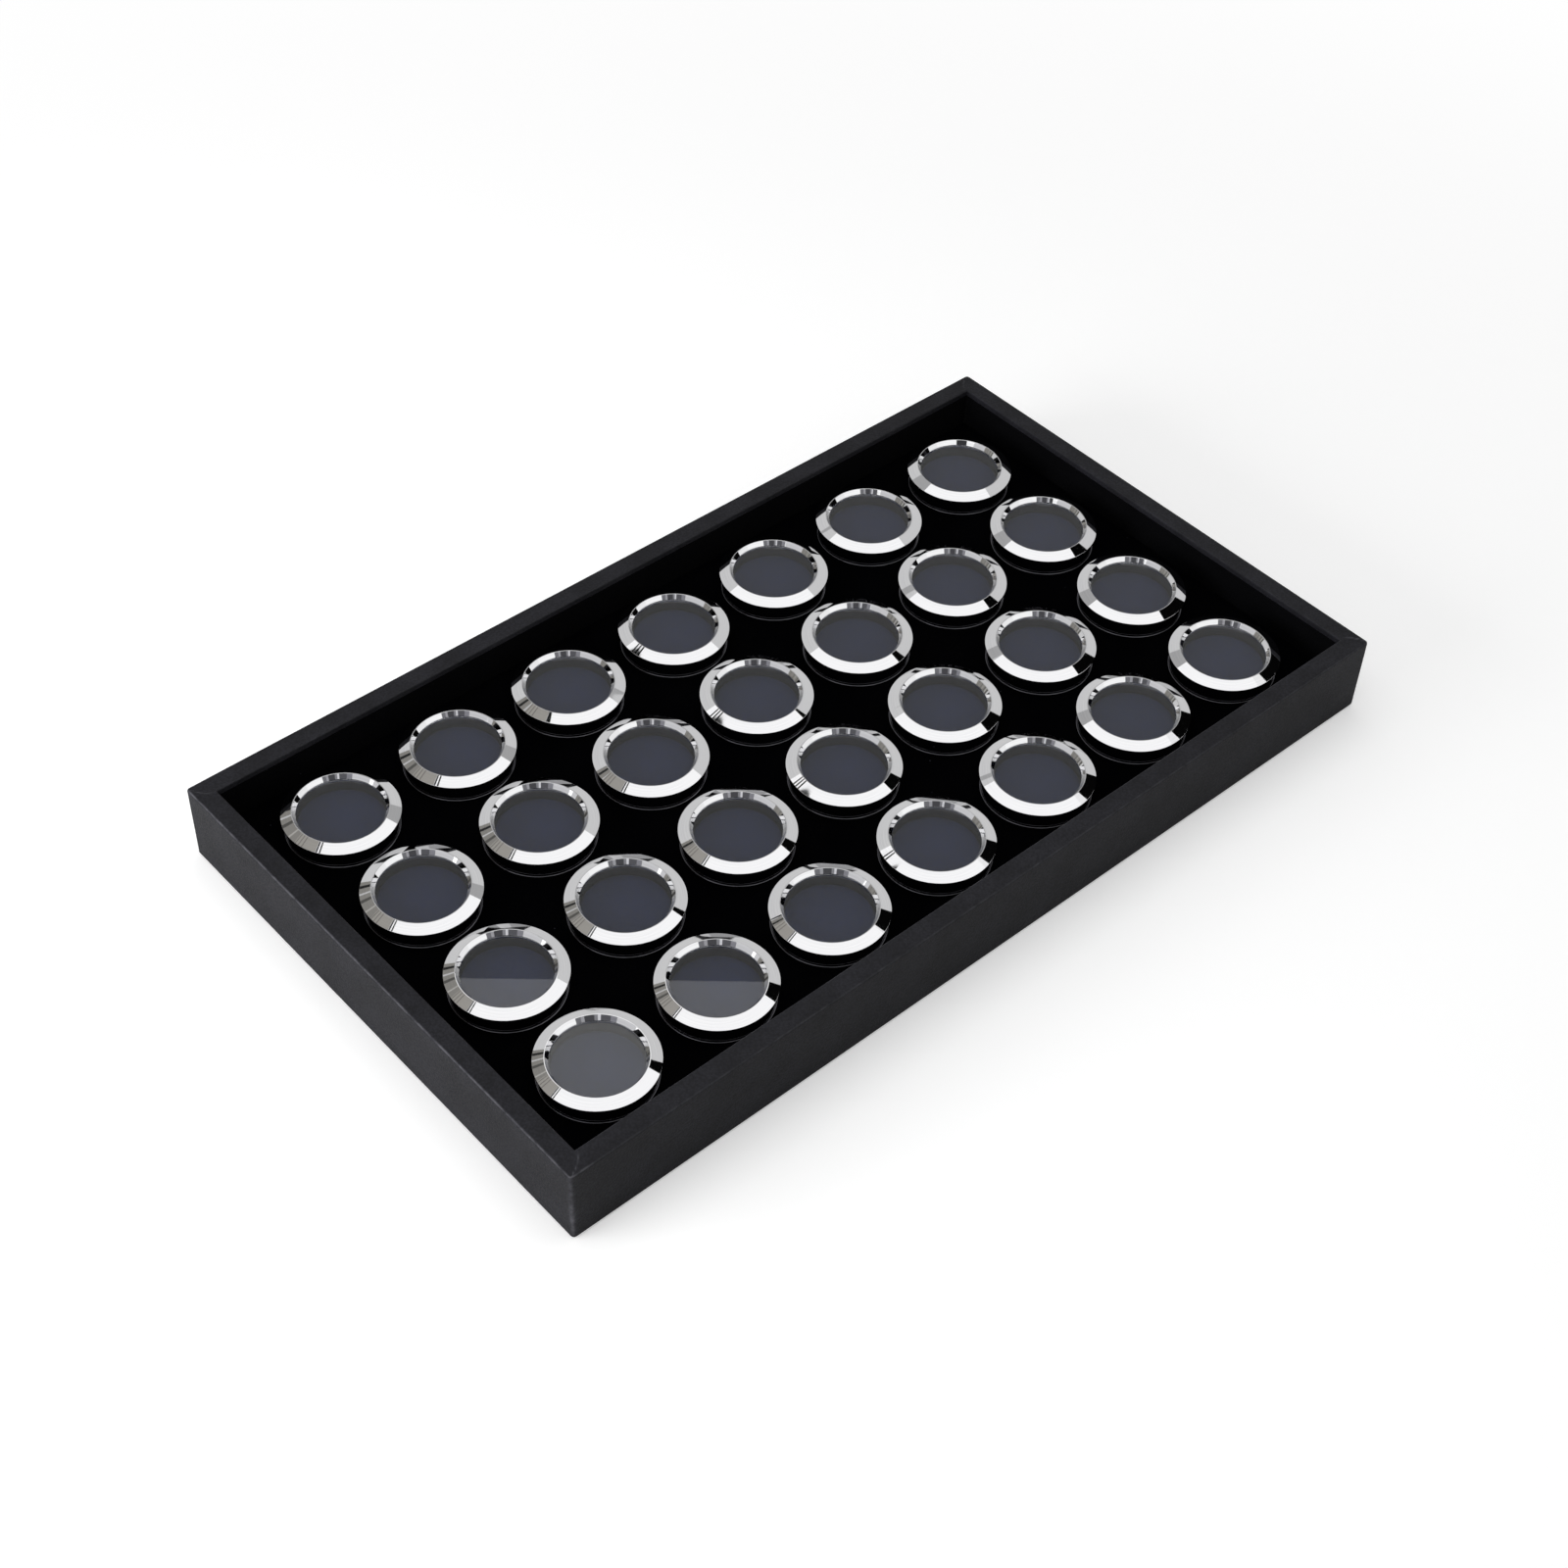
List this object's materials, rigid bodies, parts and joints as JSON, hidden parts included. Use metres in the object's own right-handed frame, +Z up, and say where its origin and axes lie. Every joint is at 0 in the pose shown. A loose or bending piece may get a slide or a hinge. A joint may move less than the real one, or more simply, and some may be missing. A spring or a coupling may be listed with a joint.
{
  "type": "coin display tray",
  "caption": "Open leatherette tray with a velvet insert that holds rows of lift-out round metal jars, each with a foam pad and a lift-off lid with a bevelled bezel and a glass window.",
  "frame": {"origin": "middle of the tray's footprint, on the face that it stands on", "axes": "+X along the tray's length, +Y across it, +Z up out of the open top"},
  "size_m": [0.3698, 0.21, 0.0316],
  "materials": {
    "tray_board": "raw fibreboard, covered on all sides",
    "leatherette": "black embossed leatherette, fine grain, semi-matt",
    "insert_velvet": "black velvet on foam",
    "base_felt": "black felt",
    "jar_metal": "spun and bright plated",
    "lid_metal": "turned bevel, polished and bright plated",
    "window_glass": "clear polished flat glass",
    "pad_foam": "dark grey foam with a short nap"
  },
  "bodies": {
    "tray": {"tray_boards": "tray_board", "leatherette_cover": "leatherette", "jar_insert": "insert_velvet", "base_sheet": "base_felt"},
    "jar_a1": {"jar_a1_cup": "jar_metal"},
    "jar_a1_lid": {"jar_a1_lid": "lid_metal"},
    "jar_a2": {"jar_a2_cup": "jar_metal"},
    "jar_a2_lid": {"jar_a2_lid": "lid_metal"},
    "jar_a3": {"jar_a3_cup": "jar_metal"},
    "jar_a3_lid": {"jar_a3_lid": "lid_metal"},
    "jar_a4": {"jar_a4_cup": "jar_metal"},
    "jar_a4_lid": {"jar_a4_lid": "lid_metal"},
    "jar_a5": {"jar_a5_cup": "jar_metal"},
    "jar_a5_lid": {"jar_a5_lid": "lid_metal"},
    "jar_a6": {"jar_a6_cup": "jar_metal"},
    "jar_a6_lid": {"jar_a6_lid": "lid_metal"},
    "jar_a7": {"jar_a7_cup": "jar_metal"},
    "jar_a7_lid": {"jar_a7_lid": "lid_metal"},
    "jar_b1": {"jar_b1_cup": "jar_metal"},
    "jar_b1_lid": {"jar_b1_lid": "lid_metal"},
    "jar_b2": {"jar_b2_cup": "jar_metal"},
    "jar_b2_lid": {"jar_b2_lid": "lid_metal"},
    "jar_b3": {"jar_b3_cup": "jar_metal"},
    "jar_b3_lid": {"jar_b3_lid": "lid_metal"},
    "jar_b4": {"jar_b4_cup": "jar_metal"},
    "jar_b4_lid": {"jar_b4_lid": "lid_metal"},
    "jar_b5": {"jar_b5_cup": "jar_metal"},
    "jar_b5_lid": {"jar_b5_lid": "lid_metal"},
    "jar_b6": {"jar_b6_cup": "jar_metal"},
    "jar_b6_lid": {"jar_b6_lid": "lid_metal"},
    "jar_b7": {"jar_b7_cup": "jar_metal"},
    "jar_b7_lid": {"jar_b7_lid": "lid_metal"},
    "jar_c1": {"jar_c1_cup": "jar_metal"},
    "jar_c1_lid": {"jar_c1_lid": "lid_metal"},
    "jar_c2": {"jar_c2_cup": "jar_metal"},
    "jar_c2_lid": {"jar_c2_lid": "lid_metal"},
    "jar_c3": {"jar_c3_cup": "jar_metal"},
    "jar_c3_lid": {"jar_c3_lid": "lid_metal"},
    "jar_c4": {"jar_c4_cup": "jar_metal"},
    "jar_c4_lid": {"jar_c4_lid": "lid_metal"},
    "jar_c5": {"jar_c5_cup": "jar_metal"},
    "jar_c5_lid": {"jar_c5_lid": "lid_metal"},
    "jar_c6": {"jar_c6_cup": "jar_metal"},
    "jar_c6_lid": {"jar_c6_lid": "lid_metal"},
    "jar_c7": {"jar_c7_cup": "jar_metal"},
    "jar_c7_lid": {"jar_c7_lid": "lid_metal"},
    "jar_d1": {"jar_d1_cup": "jar_metal"},
    "jar_d1_lid": {"jar_d1_lid": "lid_metal"},
    "jar_d2": {"jar_d2_cup": "jar_metal"},
    "jar_d2_lid": {"jar_d2_lid": "lid_metal"},
    "jar_d3": {"jar_d3_cup": "jar_metal"},
    "jar_d3_lid": {"jar_d3_lid": "lid_metal"},
    "jar_d4": {"jar_d4_cup": "jar_metal"},
    "jar_d4_lid": {"jar_d4_lid": "lid_metal"},
    "jar_d5": {"jar_d5_cup": "jar_metal"},
    "jar_d5_lid": {"jar_d5_lid": "lid_metal"},
    "jar_d6": {"jar_d6_cup": "jar_metal"},
    "jar_d6_lid": {"jar_d6_lid": "lid_metal"},
    "jar_d7": {"jar_d7_cup": "jar_metal"},
    "jar_d7_lid": {"jar_d7_lid": "lid_metal"}
  },
  "joints": [
    {"name": "jar_a1_lift", "type": "slide", "parent": "tray", "child": "jar_a1", "axis": [0, 0, 1], "range_m": [0, 0.03]},
    {"name": "jar_a1_lid_lift", "type": "slide", "parent": "jar_a1", "child": "jar_a1_lid", "axis": [0, 0, 1], "range_m": [0, 0.015]},
    {"name": "jar_a2_lift", "type": "slide", "parent": "tray", "child": "jar_a2", "axis": [0, 0, 1], "range_m": [0, 0.03]},
    {"name": "jar_a2_lid_lift", "type": "slide", "parent": "jar_a2", "child": "jar_a2_lid", "axis": [0, 0, 1], "range_m": [0, 0.015]},
    {"name": "jar_a3_lift", "type": "slide", "parent": "tray", "child": "jar_a3", "axis": [0, 0, 1], "range_m": [0, 0.03]},
    {"name": "jar_a3_lid_lift", "type": "slide", "parent": "jar_a3", "child": "jar_a3_lid", "axis": [0, 0, 1], "range_m": [0, 0.015]},
    {"name": "jar_a4_lift", "type": "slide", "parent": "tray", "child": "jar_a4", "axis": [0, 0, 1], "range_m": [0, 0.03]},
    {"name": "jar_a4_lid_lift", "type": "slide", "parent": "jar_a4", "child": "jar_a4_lid", "axis": [0, 0, 1], "range_m": [0, 0.015]},
    {"name": "jar_a5_lift", "type": "slide", "parent": "tray", "child": "jar_a5", "axis": [0, 0, 1], "range_m": [0, 0.03]},
    {"name": "jar_a5_lid_lift", "type": "slide", "parent": "jar_a5", "child": "jar_a5_lid", "axis": [0, 0, 1], "range_m": [0, 0.015]},
    {"name": "jar_a6_lift", "type": "slide", "parent": "tray", "child": "jar_a6", "axis": [0, 0, 1], "range_m": [0, 0.03]},
    {"name": "jar_a6_lid_lift", "type": "slide", "parent": "jar_a6", "child": "jar_a6_lid", "axis": [0, 0, 1], "range_m": [0, 0.015]},
    {"name": "jar_a7_lift", "type": "slide", "parent": "tray", "child": "jar_a7", "axis": [0, 0, 1], "range_m": [0, 0.03]},
    {"name": "jar_a7_lid_lift", "type": "slide", "parent": "jar_a7", "child": "jar_a7_lid", "axis": [0, 0, 1], "range_m": [0, 0.015]},
    {"name": "jar_b1_lift", "type": "slide", "parent": "tray", "child": "jar_b1", "axis": [0, 0, 1], "range_m": [0, 0.03]},
    {"name": "jar_b1_lid_lift", "type": "slide", "parent": "jar_b1", "child": "jar_b1_lid", "axis": [0, 0, 1], "range_m": [0, 0.015]},
    {"name": "jar_b2_lift", "type": "slide", "parent": "tray", "child": "jar_b2", "axis": [0, 0, 1], "range_m": [0, 0.03]},
    {"name": "jar_b2_lid_lift", "type": "slide", "parent": "jar_b2", "child": "jar_b2_lid", "axis": [0, 0, 1], "range_m": [0, 0.015]},
    {"name": "jar_b3_lift", "type": "slide", "parent": "tray", "child": "jar_b3", "axis": [0, 0, 1], "range_m": [0, 0.03]},
    {"name": "jar_b3_lid_lift", "type": "slide", "parent": "jar_b3", "child": "jar_b3_lid", "axis": [0, 0, 1], "range_m": [0, 0.015]},
    {"name": "jar_b4_lift", "type": "slide", "parent": "tray", "child": "jar_b4", "axis": [0, 0, 1], "range_m": [0, 0.03]},
    {"name": "jar_b4_lid_lift", "type": "slide", "parent": "jar_b4", "child": "jar_b4_lid", "axis": [0, 0, 1], "range_m": [0, 0.015]},
    {"name": "jar_b5_lift", "type": "slide", "parent": "tray", "child": "jar_b5", "axis": [0, 0, 1], "range_m": [0, 0.03]},
    {"name": "jar_b5_lid_lift", "type": "slide", "parent": "jar_b5", "child": "jar_b5_lid", "axis": [0, 0, 1], "range_m": [0, 0.015]},
    {"name": "jar_b6_lift", "type": "slide", "parent": "tray", "child": "jar_b6", "axis": [0, 0, 1], "range_m": [0, 0.03]},
    {"name": "jar_b6_lid_lift", "type": "slide", "parent": "jar_b6", "child": "jar_b6_lid", "axis": [0, 0, 1], "range_m": [0, 0.015]},
    {"name": "jar_b7_lift", "type": "slide", "parent": "tray", "child": "jar_b7", "axis": [0, 0, 1], "range_m": [0, 0.03]},
    {"name": "jar_b7_lid_lift", "type": "slide", "parent": "jar_b7", "child": "jar_b7_lid", "axis": [0, 0, 1], "range_m": [0, 0.015]},
    {"name": "jar_c1_lift", "type": "slide", "parent": "tray", "child": "jar_c1", "axis": [0, 0, 1], "range_m": [0, 0.03]},
    {"name": "jar_c1_lid_lift", "type": "slide", "parent": "jar_c1", "child": "jar_c1_lid", "axis": [0, 0, 1], "range_m": [0, 0.015]},
    {"name": "jar_c2_lift", "type": "slide", "parent": "tray", "child": "jar_c2", "axis": [0, 0, 1], "range_m": [0, 0.03]},
    {"name": "jar_c2_lid_lift", "type": "slide", "parent": "jar_c2", "child": "jar_c2_lid", "axis": [0, 0, 1], "range_m": [0, 0.015]},
    {"name": "jar_c3_lift", "type": "slide", "parent": "tray", "child": "jar_c3", "axis": [0, 0, 1], "range_m": [0, 0.03]},
    {"name": "jar_c3_lid_lift", "type": "slide", "parent": "jar_c3", "child": "jar_c3_lid", "axis": [0, 0, 1], "range_m": [0, 0.015]},
    {"name": "jar_c4_lift", "type": "slide", "parent": "tray", "child": "jar_c4", "axis": [0, 0, 1], "range_m": [0, 0.03]},
    {"name": "jar_c4_lid_lift", "type": "slide", "parent": "jar_c4", "child": "jar_c4_lid", "axis": [0, 0, 1], "range_m": [0, 0.015]},
    {"name": "jar_c5_lift", "type": "slide", "parent": "tray", "child": "jar_c5", "axis": [0, 0, 1], "range_m": [0, 0.03]},
    {"name": "jar_c5_lid_lift", "type": "slide", "parent": "jar_c5", "child": "jar_c5_lid", "axis": [0, 0, 1], "range_m": [0, 0.015]},
    {"name": "jar_c6_lift", "type": "slide", "parent": "tray", "child": "jar_c6", "axis": [0, 0, 1], "range_m": [0, 0.03]},
    {"name": "jar_c6_lid_lift", "type": "slide", "parent": "jar_c6", "child": "jar_c6_lid", "axis": [0, 0, 1], "range_m": [0, 0.015]},
    {"name": "jar_c7_lift", "type": "slide", "parent": "tray", "child": "jar_c7", "axis": [0, 0, 1], "range_m": [0, 0.03]},
    {"name": "jar_c7_lid_lift", "type": "slide", "parent": "jar_c7", "child": "jar_c7_lid", "axis": [0, 0, 1], "range_m": [0, 0.015]},
    {"name": "jar_d1_lift", "type": "slide", "parent": "tray", "child": "jar_d1", "axis": [0, 0, 1], "range_m": [0, 0.03]},
    {"name": "jar_d1_lid_lift", "type": "slide", "parent": "jar_d1", "child": "jar_d1_lid", "axis": [0, 0, 1], "range_m": [0, 0.015]},
    {"name": "jar_d2_lift", "type": "slide", "parent": "tray", "child": "jar_d2", "axis": [0, 0, 1], "range_m": [0, 0.03]},
    {"name": "jar_d2_lid_lift", "type": "slide", "parent": "jar_d2", "child": "jar_d2_lid", "axis": [0, 0, 1], "range_m": [0, 0.015]},
    {"name": "jar_d3_lift", "type": "slide", "parent": "tray", "child": "jar_d3", "axis": [0, 0, 1], "range_m": [0, 0.03]},
    {"name": "jar_d3_lid_lift", "type": "slide", "parent": "jar_d3", "child": "jar_d3_lid", "axis": [0, 0, 1], "range_m": [0, 0.015]},
    {"name": "jar_d4_lift", "type": "slide", "parent": "tray", "child": "jar_d4", "axis": [0, 0, 1], "range_m": [0, 0.03]},
    {"name": "jar_d4_lid_lift", "type": "slide", "parent": "jar_d4", "child": "jar_d4_lid", "axis": [0, 0, 1], "range_m": [0, 0.015]},
    {"name": "jar_d5_lift", "type": "slide", "parent": "tray", "child": "jar_d5", "axis": [0, 0, 1], "range_m": [0, 0.03]},
    {"name": "jar_d5_lid_lift", "type": "slide", "parent": "jar_d5", "child": "jar_d5_lid", "axis": [0, 0, 1], "range_m": [0, 0.015]},
    {"name": "jar_d6_lift", "type": "slide", "parent": "tray", "child": "jar_d6", "axis": [0, 0, 1], "range_m": [0, 0.03]},
    {"name": "jar_d6_lid_lift", "type": "slide", "parent": "jar_d6", "child": "jar_d6_lid", "axis": [0, 0, 1], "range_m": [0, 0.015]},
    {"name": "jar_d7_lift", "type": "slide", "parent": "tray", "child": "jar_d7", "axis": [0, 0, 1], "range_m": [0, 0.03]},
    {"name": "jar_d7_lid_lift", "type": "slide", "parent": "jar_d7", "child": "jar_d7_lid", "axis": [0, 0, 1], "range_m": [0, 0.015]}
  ]
}
